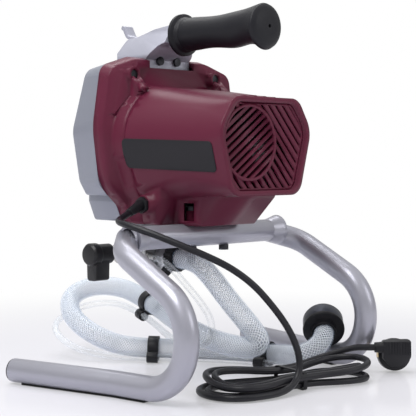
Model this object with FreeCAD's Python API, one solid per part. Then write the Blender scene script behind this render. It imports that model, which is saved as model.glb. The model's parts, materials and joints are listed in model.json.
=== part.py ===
import FreeCAD, Part
import math
import os

# Airless paint sprayer on a bent tube stand, in millimetres.
# +Z is up, +Y is the motor's vented end, -Y is the pump's end, and the stand is mirrored about X = 0.
# The origin is on the floor, under the middle of the machine without its cord and hoses.

os.makedirs("parts", exist_ok=True)
V = FreeCAD.Vector

# Stand: one bent steel tube on each side and one tube across
TUBE_R = 12.7
TUBE_WALL = 1.5
STRIP_LIFT = 1.2
TUBE_Z = TUBE_R + STRIP_LIFT
STAND_POINTS = [(183.5, -98.5, TUBE_Z), (152.0, 32.3, TUBE_Z), (141.8, 116.6, TUBE_Z),
                (139.4, 130.6, 92.0), (137.0, 29.2, 144.7), (106.4, -0.6, 156.6)]
STAND_RADII = [40.0, 46.7, 52.0, 35.8]
CROSS_Y = 12.0
CROSS_Z = 157.3

# Machine body
FLANGE_Y = -60.0
MOTOR_Z = 254.0
BODY_WALL = 3.0
BODY_BASE_Z = 168.5
RIM_Y = 101.0
SEAM_Y = -27.0
GRILLE_Y = 91.0
GRILLE_FACE_Y = 96.5
GRILLE_CIRCLE = (22.0, 258.0, 40.0)
COVER_Y = -98.0
COVER_FACE_Y = -113.0
ROCKER_Y = -110.0

# Gear train and pump
PUMP_Y = -84.0
PLATE_Y = (-46.0, -40.0)
CRANK_Z = 226.0
PINION_TEETH = 9
WHEEL_TEETH = 45
CLUSTER_TEETH = 12
CRANK_TEETH = 40
FAST_MODULE = 1.25
FAST_BACKLASH = 0.26
SLOW_MODULE = 1.5
CRANK_THROW = 7.0
ROD_LENGTH = 36.0
PISTON_R = 6.0
BLOCK_Z = (112.0, 166.0)
INLET_Z = 127.0
VALVE_AXIS = (-98.0, 132.0)

STATOR_R = 42.0
STATOR_Y = (0.0, 45.0)
BRIDGE_X = 62.0
PLATE_SCREWS = [(48, 311), (-48, 311), (50, 199), (-50, 199)]

# Handle
GRIP_Z = 380.4

# Suction hose, return tube and cord
HOSE_R = 12.0
HOSE_BORE_R = 8.5
RETURN_R = 4.0
RETURN_BORE_R = 2.8
CORD_R = 3.6


def at(point):
    return V(*point)


def save(name, *solids):
    shape = solids[0] if len(solids) == 1 else Part.makeCompound(list(solids))
    for solid in shape.Solids:
        if not (solid.isValid() and solid.isClosed()):
            raise ValueError(name + " is not a valid closed solid")
    shape.exportStep("parts/" + name + ".step")
    return shape


def box(x, y, z):
    return Part.makeBox(x[1] - x[0], y[1] - y[0], z[1] - z[0], V(x[0], y[0], z[0]))


def rod(radius, start, end):
    axis = at(end) - at(start)
    return Part.makeCylinder(radius, axis.Length, at(start), axis)


def collar(outer, inner, start, end):
    return rod(outer, start, end).cut(rod(inner, start, end))


def cone(r_start, r_end, start, end):
    axis = at(end) - at(start)
    return Part.makeCone(r_start, r_end, axis.Length, at(start), axis)


def join(*shapes):
    whole = shapes[0].multiFuse(list(shapes[1:])).removeSplitter()
    return whole.Solids[0] if len(whole.Solids) == 1 else whole


def mirrored(shape):
    return shape.mirror(V(0, 0, 0), V(1, 0, 0))


def path_edges(points, radii, closed=False):
    """Straight runs joined by tangent arcs of the given radii."""
    corners = [at(p) for p in points]
    count = len(corners)
    arcs = []
    for i in range(0 if closed else 1, count if closed else count - 1):
        before, here, after = corners[i - 1], corners[i], corners[(i + 1) % count]
        into = (here - before).normalize()
        out = (after - here).normalize()
        half = into.getAngle(out) / 2
        radius = radii[i if closed else i - 1]
        reach = radius * math.tan(half)
        inward = (out - into).normalize()
        middle = here + inward * (radius / math.cos(half) - radius)
        arcs.append((here - into * reach, middle, here + out * reach))
    edges = []
    last = arcs[-1][2] if closed else corners[0]
    for start, middle, end in arcs:
        if (start - last).Length > 0.001:
            edges.append(Part.LineSegment(last, start).toShape())
        if (end - start).Length > 0.001:
            edges.append(Part.Arc(start, middle, end).toShape())
        last = end
    if not closed and (corners[-1] - last).Length > 0.001:
        edges.append(Part.LineSegment(last, corners[-1]).toShape())
    return edges


def tube_on(edges, radius):
    """A round bar whose centreline is the edges."""
    path = Part.Wire(edges)
    start = edges[0].valueAt(edges[0].FirstParameter)
    heading = edges[0].tangentAt(edges[0].FirstParameter)
    ring = Part.Wire([Part.makeCircle(radius, start, heading)])
    return path.makePipeShell([ring], True, False)


def outline(corners, place):
    """A closed wire through rounded corners; each corner is (u, v, radius)."""
    points = [place(u, v) for u, v, r in corners]
    return Part.Wire(path_edges(points, [r for u, v, r in corners], closed=True))


def prism_y(corners, y0, y1):
    face = Part.Face(outline(corners, lambda x, z: (x, y0, z)))
    return face.extrude(V(0, y1 - y0, 0))


def prism_x(corners, x0, x1):
    face = Part.Face(outline(corners, lambda y, z: (x0, y, z)))
    return face.extrude(V(x1 - x0, 0, 0))


def prism_z(corners, z0, z1):
    face = Part.Face(outline(corners, lambda x, y: (x, y, z0)))
    return face.extrude(V(0, 0, z1 - z0))


def both_sides(half):
    """A mirrored outline from the corners of its +X half, listed from the top down."""
    return half + [(-u, v, r) for u, v, r in reversed(half)]


def loft_y(sections, ruled=False):
    wires = [outline(corners, lambda x, z, y=y: (x, y, z)) for y, corners in sections]
    return Part.makeLoft(wires, True, ruled)


def turned(profile, axis_point, axis):
    """A solid of revolution: profile gives (distance along the axis, radius) pairs."""
    axis = at(axis).normalize()
    side = V(0, 0, 1) if abs(axis.z) < 0.9 else V(1, 0, 0)
    side = (side - axis * side.dot(axis)).normalize()
    origin = at(axis_point)
    points = [origin + axis * along + side * radius for along, radius in profile]
    points.append(points[0])
    return Part.Face(Part.makePolygon(points)).revolve(origin, axis, 360)


# Stand

def stand_tube():
    edges = path_edges(STAND_POINTS, STAND_RADII)
    outer = tube_on(edges, TUBE_R)
    return outer, outer.cut(tube_on(edges, TUBE_R - TUBE_WALL))


def end_plug(tip, neighbour):
    """A plastic cap pressed into a tube's end."""
    out = (at(tip) - at(neighbour)).normalize()
    face = at(tip)
    bore = TUBE_R - TUBE_WALL
    spigot = rod(bore, tuple(face - out * 9), tuple(face))
    disc = turned([(0, 0), (0, TUBE_R - 0.2), (1.6, TUBE_R - 0.6), (2.6, TUBE_R - 3), (3, 0)],
                  tuple(face), tuple(out))
    return join(spigot, disc)


def foot_strip(tube):
    """A rubber strip under the tube, from behind the front plug to the rear bend."""
    edges = path_edges([(x, y, 0) for x, y, z in STAND_POINTS[:3]], STAND_RADII[:1])
    start = edges[0].valueAt(edges[0].FirstParameter)
    heading = edges[0].tangentAt(edges[0].FirstParameter)
    across = V(heading.y, -heading.x, 0)
    low = start + heading * 14
    profile = Part.makePolygon([low - across * 5, low + across * 5, low + across * 5 + V(0, 0, 2.2),
                                low - across * 5 + V(0, 0, 2.2), low - across * 5])
    trimmed = [Part.LineSegment(low, edges[0].valueAt(edges[0].LastParameter)).toShape(), edges[1]]
    last = edges[2].valueAt(edges[2].FirstParameter)
    along = edges[2].tangentAt(edges[2].FirstParameter)
    trimmed.append(Part.LineSegment(last, last + along * (edges[2].Length - 42)).toShape())
    strip = Part.Wire(trimmed).makePipeShell([profile], True, False)
    return strip.cut(tube)


def build_stand():
    outer, tube = stand_tube()
    other = mirrored(outer)
    bolt_holes = [rod(3.3, (x, CROSS_Y, CROSS_Z - 20), (x, CROSS_Y, CROSS_Z + 20)) for x in (-25, 25)]
    reach = 118.0
    bar = collar(TUBE_R, TUBE_R - TUBE_WALL, (-reach, CROSS_Y, CROSS_Z), (reach, CROSS_Y, CROSS_Z))
    cross = bar.cut(Part.makeCompound([outer, other] + bolt_holes))
    cross = max(cross.Solids, key=lambda s: s.Volume)
    full_bar = rod(TUBE_R, (-reach, CROSS_Y, CROSS_Z), (reach, CROSS_Y, CROSS_Z))
    fillet = cone(TUBE_R, TUBE_R + 4.5, (97, CROSS_Y, CROSS_Z), (114, CROSS_Y, CROSS_Z))
    bead = fillet.cut(Part.makeCompound([outer, full_bar]))
    bead = max(bead.Solids, key=lambda s: s.Volume)
    strip = foot_strip(outer)
    arm_plug = end_plug(STAND_POINTS[-1], STAND_POINTS[-2]).cut(Part.makeCompound([full_bar, bead]))
    arm_plug = max(arm_plug.Solids, key=lambda s: s.Volume)
    plugs = [end_plug(STAND_POINTS[0], STAND_POINTS[1]), arm_plug]
    save("stand_tube_right", tube)
    save("stand_tube_left", mirrored(tube))
    save("cross_tube", cross)
    save("weld_beads", bead, mirrored(bead))
    save("tube_plugs", *(plugs + [mirrored(p) for p in plugs]))
    save("foot_strips", strip, mirrored(strip))


# Motor housing: a hexagonal barrel with rounded corners that grows into a tall front flange

BARREL = [(-60.0, (60, 325, 40), (106, 275, 60), (68, 184, 34)),
          (-20.0, (56, 320, 38), (95, 274, 55), (64, 192, 32)),
          (25.0, (51, 315, 44), (85, 273, 52), (59, 198, 34)),
          (74.0, (46.5, 308.5, 36), (76, 272, 46), (55.5, 201, 28)),
          (RIM_Y, (50, 306, 19), (71.5, 272, 30), (53, 202, 18))]
FLANGE = [(56, 355, 24), (95, 343, 17), (106, 275, 90), (97, 212, 40), (72, 189, 18),
          (63, BODY_BASE_Z + 2, 5)]
FLANGE_REAR = [(54, 351, 22), (92, 339, 15), (102, 275, 90), (93, 214, 40), (70, 191, 18),
               (62, BODY_BASE_Z + 2, 5)]


def inset(corners, amount, middle=262.0):
    """The same rounded outline, drawn in by an amount on each side."""
    smaller = []
    for u, v, r in corners:
        across = u - amount * 1.05 if u > 0 else u + amount * 1.05
        up = v - amount if v > middle + 30 else v + amount if v < middle - 30 else v
        smaller.append((across, up, max(r - amount, 1.0)))
    return smaller


def barrel(amount, y_end=None):
    sections = []
    for y, *half in BARREL:
        if y_end is not None and y == RIM_Y:
            share = (y_end - BARREL[-2][0]) / (RIM_Y - BARREL[-2][0])
            earlier = BARREL[-2][1:]
            half = [tuple(a + (b - a) * share for a, b in zip(p, q)) for p, q in zip(earlier, half)]
            y = y_end
        sections.append((y, inset(both_sides(list(half)), amount)))
    return loft_y(sections)


def grille_slots(depth):
    """Slanted vent slots: one way inside the circle, the other way around it."""
    cx, cz, radius = GRILLE_CIRCLE
    y0, y1 = depth
    disc = rod(radius - 2.5, (cx, y0, cz), (cx, y1, cz))
    keep_out = rod(radius + 0.5, (cx, y0, cz), (cx, y1, cz))
    field = prism_y(inset(both_sides(list(BARREL[-1][1:])), 8.0), y0, y1)
    inner = slot_rows((cx, cz), y0, y1, 35.0, 7.1, 3.4, 5)
    outer = slot_rows((cx, cz), y0, y1, -48.0, 8.2, 4.0, 15)
    return [s.common(disc) for s in inner] + [s.common(field).cut(keep_out) for s in outer]


def slot_rows(centre, y0, y1, angle, pitch, width, rows):
    """Long boxes side by side; the angle is seen from behind the machine, where +X is to the left."""
    slots = []
    for row in range(-rows, rows + 1):
        slot = box((-120, 120), (y0, y1), (row * pitch - width / 2, row * pitch + width / 2))
        slot.rotate(V(0, 0, 0), V(0, 1, 0), angle)
        slot.translate(V(centre[0], 0, centre[1]))
        slots.append(slot)
    return slots


def build_housing():
    flange = loft_y([(FLANGE_Y, both_sides(FLANGE)), (-46.0, both_sides(FLANGE_REAR))], ruled=True)
    base = both_sides([(66, 230, 3), (66, 196, 10), (61, BODY_BASE_Z, 6)])
    gland_block = prism_y(base, -58.0, 6.0)
    block_back = prism_x([(-70, 230, 1), (14, 230, 1), (-2, BODY_BASE_Z - 1, 1), (-70, BODY_BASE_Z - 1, 1)],
                         -80, 80)
    pedestal = prism_x([(-40, 235, 1), (90, 235, 1), (76, 199, 8), (45, BODY_BASE_Z, 4),
                        (-40, BODY_BASE_Z, 1)],
                       -40, 40)
    bosses = [rod(9.0, (x, -58, 334), (x, -38, 334)) for x in (-63, 63)]
    boss_roots = [prism_x([(-50, 334, 2), (-38, 334, 1), (-20, 318, 2), (-50, 300, 2)], x - 5, x + 5)
                  for x in (-63, 63)]
    pads = [prism_y([(side * 79, 339, 2), (side * 91, 286, 1.5), (side * 62, 318, 4), (side * 52, 341, 2)],
                    -49, -42.5) for side in (-1, 1)]
    ridges = [rod(4.5, (x, -22, 313.5 - abs(x) * 0.05), (x, 84, 304.2 - abs(x) * 0.03))
              for x in (-30, -15, 0, 15, 30)]
    gland_boss = rod(11.0, (50, -14, 191), (72.5, -14, 191))
    outside = join(flange, barrel(0), gland_block.common(block_back), pedestal, *bosses, *boss_roots,
                   *pads, *ridges, gland_boss)
    front_room = prism_y(inset(both_sides(FLANGE_REAR), 4.0), FLANGE_Y - 1, -49.5)
    block_room = prism_y(both_sides([(62, 240, 2), (62, 200, 8), (57, BODY_BASE_Z + 3, 4)]), -61, 2.0)
    slope = prism_x([(-70, 240, 1), (8, 240, 1), (-5, BODY_BASE_Z, 1), (-70, BODY_BASE_Z, 1)], -80, 80)
    block_room = block_room.common(slope)
    pedestal_room = prism_x([(-42, 240, 1), (84, 240, 1), (70, 201, 6), (43, BODY_BASE_Z + 3, 2),
                             (-42, BODY_BASE_Z + 3, 1)], -37, 37)
    recess = prism_y(inset(both_sides(list(BARREL[-1][1:])), 5.5), GRILLE_Y, RIM_Y + 1)
    ledge = prism_y(inset(both_sides(list(BARREL[-1][1:])), 8.5), GRILLE_Y - 6, RIM_Y)
    notch = box((-34.3, 34.3), (-70, -40), (343.0, 380))
    screw_ways = [rod(3.2, (x, -70, 334), (x, -30, 334)) for x in (-63, 63)]
    screw_heads = [rod(5.6, (x, -44, 334), (x, -30, 334)) for x in (-63, 63)]
    low_screws = [rod(2.6, (x, -70, 182), (x, -50, 182)) for x in (-52, 52)]
    gland_way = rod(6.1, (40, -14, 191), (90, -14, 191))
    shelf_way = box((-26.3, 26.3), (-61, PLATE_Y[1] + 0.3), (150, BLOCK_Z[1] + 10))
    saddle = rod(TUBE_R + 0.05, (-60, CROSS_Y, CROSS_Z), (60, CROSS_Y, CROSS_Z))
    bolt_ways = [rod(3.3, (x, CROSS_Y, 150), (x, CROSS_Y, 190)) for x in (-25, 25)]
    side_slots = [box((s - 3, s + 3), (14, 31), (173.5, 193)) for s in (-39, 39)]
    rooms = [front_room, barrel(BODY_WALL, GRILLE_Y - 6), block_room, pedestal_room, recess, ledge, notch,
             gland_way, shelf_way, saddle] + screw_ways + screw_heads + low_screws + bolt_ways + side_slots
    shell = outside.cut(Part.makeCompound(rooms))
    shell = max(shell.Solids, key=lambda s: s.Volume)
    shell = join(shell, *motor_ribs())
    pillars = [collar(7.0, 3.3, (x, CROSS_Y, BODY_BASE_Z + 2.9), (x, CROSS_Y, 184)) for x in (-25, 25)]
    shell = join(shell, *pillars)
    low_posts = [rod(7.5, (x, PLATE_Y[1] - 1, z), (x, SEAM_Y + 1, z)) for x, z in PLATE_SCREWS[2:]]
    behind = join(box((-130, 130), (SEAM_Y, RIM_Y + 5), (150, 370)), *low_posts)
    save("motor_housing", shell.common(behind))
    save("housing_flange", shell.cut(behind))
    build_grille()
    build_label(outside)


def motor_ribs():
    """Ribs that hold the field stack, posts for the gear plate and rests for the brush bridge."""
    stack = rod(STATOR_R, (0, -60, MOTOR_Z), (0, 90, MOTOR_Z))
    cross = [box((-3, 3), (2, 43), (200, 312)), box((-90, 90), (2, 43), (MOTOR_Z - 3, MOTOR_Z + 3)),
             box((-46, 46), (19, 25), (196, 214))]
    ribs = [s for s in join(*cross).cut(stack).common(barrel(1.0)).Solids]
    posts = [rod(7.0, (x, PLATE_Y[1], z), (x, 4, z)).common(barrel(1.0)) for x, z in PLATE_SCREWS]
    rests = [box((BRIDGE_X, 90), (66, 80), (244, 264)).common(barrel(1.0)),
             box((-90, -BRIDGE_X), (66, 80), (244, 264)).common(barrel(1.0))]
    holes = [rod(2.2, (x, PLATE_Y[1] - 1, z), (x, PLATE_Y[1] + 16, z)) for x, z in PLATE_SCREWS]
    return [p.cut(Part.makeCompound(holes)) for p in ribs + posts + rests]


def build_grille():
    edge = inset(both_sides(list(BARREL[-1][1:])), 5.6)
    plate = prism_y(edge, GRILLE_Y, GRILLE_FACE_Y)
    cx, cz, radius = GRILLE_CIRCLE
    window = prism_y(edge, GRILLE_Y, GRILLE_FACE_Y + 1)
    rim = collar(radius + 0.5, radius - 2.5, (cx, GRILLE_FACE_Y - 1, cz), (cx, GRILLE_FACE_Y + 1, cz))
    cut = [s for s in grille_slots((GRILLE_Y - 1, GRILLE_FACE_Y + 2)) if s.Volume > 1.0]
    grille = join(plate, rim.common(window)).cut(Part.makeCompound(cut))
    save("vent_grille", max(grille.Solids, key=lambda s: s.Volume))


def build_label(outside):
    """A thin plate that follows the barrel's near side."""
    corners = [(-30, 263, 5), (88, 259, 5), (88, 227, 5), (-30, 231, 5)]
    pad = prism_x(corners, 40, 130)
    plate = barrel(-0.8).common(pad).cut(outside)
    save("label_plate", max(plate.Solids, key=lambda s: s.Volume))


# Front cover: a grey casting with a bulge on each side and a narrower box below

COVER_REAR = [(56, 354, 24), (95, 342.5, 17), (105.5, 275, 60), (98, 214, 20), (85, 200, 5)]
COVER_MID = [(50, 351, 24), (84, 340, 17), (103.5, 272, 30), (94, 216, 18), (84, 200, 5)]
COVER_FACE = [(40, 340, 20), (72, 328, 15), (90, 270, 25), (82, 222, 16), (74, 208, 5)]
CHIN = [(74, 204, 2), (74, 193, 4), (65, 171, 5)]


def build_cover():
    main = loft_y([(FLANGE_Y, both_sides(COVER_REAR)), (COVER_Y, both_sides(COVER_MID))], ruled=True)
    nose = loft_y([(COVER_Y, both_sides(COVER_MID)), (COVER_FACE_Y, both_sides(COVER_FACE))], ruled=True)
    chin = prism_y(both_sides(CHIN), FLANGE_Y, -106.0)
    knob_boss = rod(19.0, (48, COVER_FACE_Y + 4, 262), (48, COVER_FACE_Y - 3, 262))
    outside = join(main, nose, chin, knob_boss)
    wall = 3.2
    room = loft_y([(FLANGE_Y + 0.1, inset(both_sides(COVER_REAR), wall)),
                   (COVER_Y, inset(both_sides(COVER_MID), wall))], ruled=True)
    nose_room = loft_y([(COVER_Y, inset(both_sides(COVER_MID), wall)),
                        (COVER_FACE_Y + wall, inset(both_sides(COVER_FACE), wall))], ruled=True)
    chin_room = prism_y(both_sides([(70.5, 230, 1), (70.5, 194, 3), (62, 174, 3)]), FLANGE_Y + 0.1, -103.0)
    pump_way = box((-27, 27), (-104.5, FLANGE_Y + 1), (165, 190))
    knob_way = rod(4.3, (48, -95, 262), (48, -125, 262))
    switch_way = box((-58.2, -37.8), (-125, -100), (248, 276))
    low_screws = [rod(2.2, (x, -85, 165), (x, -85, 178)) for x in (-45, 45)]
    rear_screws = [rod(2.2, (x, -75, 334), (x, FLANGE_Y + 1, 334)) for x in (-63, 63)]
    notch = box((-34.3, 34.3), (-115, FLANGE_Y + 1), (350.2, 380))
    lug_way = box((-20.3, 20.3), (-77, FLANGE_Y + 1), (340, 380))
    rooms = [room, nose_room, chin_room, pump_way, knob_way, switch_way, notch, lug_way]
    shell = outside.cut(Part.makeCompound(rooms + low_screws))
    shell = max(shell.Solids, key=lambda s: s.Volume)
    posts = [rod(5.0, (x, -80, 334), (x, FLANGE_Y, 334)) for x in (-63, 63)]
    shell = join(shell, *posts).cut(Part.makeCompound(rear_screws))
    save("front_cover", shell)
    heads = [join(rod(4.2, (x, -85, 168.2), (x, -85, 171)), rod(2.2, (x, -85, 171), (x, -85, 177)))
             for x in (-45, 45)]
    flange_screws = [join(rod(5.0, (x, -44, 334), (x, -40, 334)), rod(2.2, (x, -73, 334), (x, -44, 334)))
                     for x in (-63, 63)]
    return heads + flange_screws


# Handle: a cast bracket on the flange, a hook on its front, and a rubber grip on a bar

def build_handle():
    side = prism_x([(-54, 343, 1), (-54, 353, 2), (-40, 368, 14), (-31, 371, 1), (-31, 391, 1),
                    (-58, 388, 30),
                    (-84, 381, 20), (-100.5, 379.5, 6), (-110.5, 352.5, 3), (-95, 350.2, 3), (-61, 350.2, 1),
                    (-61, 343, 1)], -34, 34)
    front = prism_y(both_sides([(15, 400, 6), (17.5, 384, 12), (33.9, 358, 8), (33.9, 340, 1)]), -130, -20)
    plan = prism_z([(34, -20, 1), (34, -104, 8), (24, -112, 8), (-24, -112, 8), (-34, -104, 8),
                    (-34, -20, 1)],
                   330, 400)
    casting = side.common(front).common(plan)
    holes = [rod(3.0, (x, -70, 352), (x, -20, 352)) for x in (-13, 13)]
    holes += [rod(5.4, (x, -54, 352), (x, -20, 352)) for x in (-13, 13)]
    pocket = rod(12.0, (-9, -30, 362), (9, -30, 362))
    hook_edges = path_edges([(0, -88, 378.5), (0, -117, 384), (0, -124, 396)], [8.0])
    start = at((0, -88, 378.5))
    hook_profile = Part.makePolygon([start + V(-7, 0, -1.8), start + V(7, 0, -1.8), start + V(7, 0, 1.8),
                                     start + V(-7, 0, 1.8), start + V(-7, 0, -1.8)])
    hook = Part.Wire(hook_edges).makePipeShell([hook_profile], True, False)
    lip = rod(2.6, (-7, -124.5, 395.5), (7, -124.5, 395.5))
    lug_pocket = box((-20, 20), (-76, -61), (330, 358))
    casting = join(casting.cut(Part.makeCompound(holes + [pocket, lug_pocket])), hook, lip)
    core_bar = rod(8.0, (0, -31, GRIP_Z), (0, 92, GRIP_Z))
    flange = rod(17.0, (0, -35, GRIP_Z), (0, -30.4, GRIP_Z))
    casting = join(casting, core_bar, flange.common(box((-17, 17), (-36, -30), (360, 400))))
    save("handle_bracket", casting)
    bolts = [join(rod(4.8, (x, -54, 352), (x, -50.5, 352)), rod(2.6, (x, -70, 352), (x, -54, 352)))
             for x in (-13, 13)]
    save("grip", rubber_grip())
    return bolts


def grip_circle(y, rx, rz_up, rz_down):
    """One slice of the grip; the palm swell makes it taller than it is wide."""
    centre = GRIP_Z + (rz_up - rz_down) / 2
    rz = (rz_up + rz_down) / 2
    if rz >= rx:
        ellipse = Part.Ellipse(V(0, y, centre + rz), V(rx, y, centre), V(0, y, centre))
    else:
        ellipse = Part.Ellipse(V(rx, y, centre), V(0, y, centre + rz), V(0, y, centre))
    return Part.Wire([ellipse.toShape()])


def rubber_grip():
    flange = turned([(0, 0), (0, 21.5), (2, 23.6), (5.5, 23.6), (7.5, 20), (12, 18.4), (12, 0)],
                    (0, -30.2, GRIP_Z), (0, 1, 0))
    slices = [(-20, 18.0, 18.2, 17.9), (10, 17.2, 17.8, 17.3), (40, 17.6, 17.9, 18.8),
              (58, 18.4, 19.4, 19.4),
              (76, 18.8, 21.2, 17.2), (88, 20.8, 23.2, 19.4), (97, 23.8, 24.6, 24.6)]
    body = Part.makeLoft([grip_circle(*s) for s in slices], True, False)
    end = turned([(0, 0), (0, 24.2), (2.5, 23.6), (5.5, 20.0), (7.5, 12.0), (8.2, 0)], (0, 96.5, GRIP_Z),
                 (0, 1, 0))
    bore = rod(8.05, (0, -31, GRIP_Z), (0, 92.1, GRIP_Z))
    end_hole = rod(2.0, (0, 92, GRIP_Z), (0, 110, GRIP_Z))
    return join(flange, body, end).cut(bore).cut(end_hole)


# Motor, gears and crank

def gear(teeth, module, y0, y1, centre, turn, bore, backlash=0.12):
    """A spur gear with straight-sided teeth; turn puts a tooth's middle at that angle from +X."""
    pitch = teeth * module / 2
    tip = pitch + module * 0.95
    root = pitch - module * 1.2
    step = 2 * math.pi / teeth
    thick = step / 4 - backlash / (2 * pitch)
    corners = []
    for tooth in range(teeth):
        middle = turn + tooth * step
        for radius, side in ((root, -1.62), (pitch, -1.0), (tip, -0.42), (tip, 0.42), (pitch, 1.0),
                             (root, 1.62)):
            angle = middle + side * thick
            corners.append(V(centre[0] + radius * math.cos(angle), y0, centre[1] + radius * math.sin(angle)))
    corners.append(corners[0])
    wheel = Part.Face(Part.makePolygon(corners)).extrude(V(0, y1 - y0, 0))
    if bore:
        wheel = wheel.cut(rod(bore, (centre[0], y0 - 1, centre[1]), (centre[0], y1 + 1, centre[1])))
    return wheel


def cluster_centre():
    """Where the cluster gear's pin stands, to mesh with the pinion above and the crank gear below."""
    to_motor = (PINION_TEETH + WHEEL_TEETH) * FAST_MODULE / 2
    to_crank = (CLUSTER_TEETH + CRANK_TEETH) * SLOW_MODULE / 2
    gap = MOTOR_Z - CRANK_Z
    below = (to_motor ** 2 - to_crank ** 2 + gap ** 2) / (2 * gap)
    across = math.sqrt(to_motor ** 2 - below ** 2)
    return across, MOTOR_Z - below


def build_motor():
    lift, mid = MOTOR_Z, sum(STATOR_Y) / 2
    y0, y1 = STATOR_Y
    yoke = collar(STATOR_R, 37.0, (0, y0, lift), (0, y1, lift))
    shoe = collar(29.0, 26.5, (0, y0, lift), (0, y1, lift))
    shoes = shoe.common(join(box((-40, -12), (y0, y1), (lift - 21, lift + 21)),
                             box((12, 40), (y0, y1), (lift - 21, lift + 21))))
    necks = box((-39, 39), (y0, y1), (lift - 10, lift + 10)).cut(rod(27.5, (0, y0, lift), (0, y1, lift)))
    save("stator_core", join(yoke, *(shoes.Solids + necks.Solids)))
    winding = collar(36.6, 29.4, (0, y0 - 7, lift), (0, y1 + 7, lift))
    coils = []
    for side in (-1, 1):
        span = box(sorted((side * 8, side * 40)), (y0 - 8, y1 + 8), (lift - 22, lift + 22))
        window = box(sorted((side * 8, side * 40)), (y0 - 0.4, y1 + 0.4), (lift - 10.4, lift + 10.4))
        coils.append(winding.common(span).cut(window))
    save("field_coils", *coils)
    shaft = rod(4.0, (0, -50, lift), (0, 87, lift))
    pinion = gear(PINION_TEETH, FAST_MODULE, -57, -50, (0, lift), pinion_turn(), 0, FAST_BACKLASH)
    save("armature_shaft", join(shaft, pinion))
    core = collar(26.0, 4.0, (0, y0 + 2, lift), (0, y1 - 2, lift))
    slots = [box((17, 30), (y0 - 5, y1 + 5), (-1.6, 1.6)) for n in range(12)]
    for n, slot in enumerate(slots):
        slot.rotate(V(0, 0, 0), V(0, 1, 0), n * 30)
        slot.translate(V(0, 0, lift))
    heads = [turned([(0, 4), (0, 15), (4, 23), (7, 23), (7, 4)], (0, y0 - 5, lift), (0, 1, 0)),
             turned([(0, 4), (0, 23), (3, 23), (8, 14), (8, 4)], (0, y1 - 2, lift), (0, 1, 0))]
    save("armature_core", core.cut(Part.makeCompound(slots)), *heads)
    bars = collar(12.0, 4.0, (0, 52, lift), (0, 68, lift))
    gaps = [box((10, 13), (50, 70), (-0.4, 0.4)) for n in range(24)]
    for n, gap in enumerate(gaps):
        gap.rotate(V(0, 0, 0), V(0, 1, 0), n * 15)
        gap.translate(V(0, 0, lift))
    save("commutator", bars.cut(Part.makeCompound(gaps)))
    save("cooling_fan", fan(lift))
    bearing = [(0, 4.03), (0, 5.6), (0.8, 6.2), (0.8, 8.8), (0, 9.4), (0, 11), (7, 11), (7, 9.4), (6.2, 8.8),
               (6.2, 6.2), (7, 5.6), (7, 4.03)]
    ring = [(0, 7.53), (0, 9), (0.8, 9.6), (0.8, 12), (0, 12.6), (0, 14), (11, 14), (11, 12.6), (10.2, 12),
            (10.2, 9.6), (11, 9), (11, 7.53)]
    save("bearings", turned(bearing, (0, -46, lift), (0, 1, 0)), turned(bearing, (0, 77, lift), (0, 1, 0)),
         turned(ring, (0, -46, CRANK_Z), (0, 1, 0)))
    bar = box((-BRIDGE_X, BRIDGE_X), (70, 78), (247, 261))
    hub = rod(15.0, (0, 70, lift), (0, 84, lift))
    holders = [box(sorted((side * 17, side * 38)), (54, 71), (lift - 7, lift + 7)) for side in (-1, 1)]
    ways = [box((-39, 39), (57.9, 66.1), (lift - 3.1, lift + 3.1)), rod(11.0, (0, 77, lift), (0, 90, lift)),
            rod(5.0, (0, 60, lift), (0, 90, lift))]
    save("brush_bridge", join(bar, hub, *holders).cut(Part.makeCompound(ways)))
    tube = rod(12.1, (0, 50, lift), (0, 70, lift))
    brushes = [box(sorted((side * 10, side * 34)), (58, 66),
                   (lift - 3, lift + 3)).cut(tube) for side in (-1, 1)]
    save("carbon_brushes", *brushes)


def fan(lift):
    """A moulded disc with twelve straight vanes on its front."""
    disc = collar(38.0, 4.0, (0, -18, lift), (0, -15, lift))
    hub = collar(9.0, 4.0, (0, -30, lift), (0, -15, lift))
    vanes = []
    for n in range(12):
        vane = box((8, 37), (-29, -17), (-0.9, 0.9))
        vane.rotate(V(0, 0, 0), V(0, 1, 0), n * 30)
        vane.translate(V(0, 0, lift))
        vanes.append(vane)
    return join(disc, hub, *vanes)


def pinion_turn():
    """A tooth of the pinion points at the cluster wheel, whose gap faces it."""
    across, lift = cluster_centre()
    return math.atan2(lift - MOTOR_Z, across)


def build_gears():
    across, lift = cluster_centre()
    to_motor = math.atan2(MOTOR_Z - lift, -across)
    to_crank = math.atan2(CRANK_Z - lift, -across)
    wheel = gear(WHEEL_TEETH, FAST_MODULE, -57, -50, (across, lift), to_motor + math.pi / WHEEL_TEETH, 4.05,
                 FAST_BACKLASH)
    small = gear(CLUSTER_TEETH, SLOW_MODULE, -69, -57, (across, lift), to_crank, 4.05)
    save("cluster_gear", join(wheel, small))
    pin = rod(4.0, (across, -74, lift), (across, -46, lift))
    head = rod(6.0, (across, -76, lift), (across, -74, lift))
    save("cluster_pin", join(pin, head))
    from_crank = math.atan2(lift - CRANK_Z, across)
    crank_wheel = gear(CRANK_TEETH, SLOW_MODULE, -68, -60, (0, CRANK_Z),
                       from_crank + math.pi / CRANK_TEETH, 7.5)
    relief = turned([(0, 11), (0, 25), (2.5, 25), (2.5, 11)], (0, -68, CRANK_Z), (0, 1, 0))
    save("crank_gear", crank_wheel.cut(relief))
    shaft = rod(7.5, (0, -70, CRANK_Z), (0, -34, CRANK_Z))
    disc = rod(15.0, (0, -77, CRANK_Z), (0, -70, CRANK_Z))
    weight = prism_y([(-21, CRANK_Z - 3, 2), (21, CRANK_Z - 3, 2), (12, CRANK_Z - 18, 6),
                      (-12, CRANK_Z - 18, 6)],
                     -77, -71)
    save("crankshaft", join(shaft, disc, weight.common(rod(20.0, (0, -78, CRANK_Z), (0, -70, CRANK_Z)))))


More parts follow.
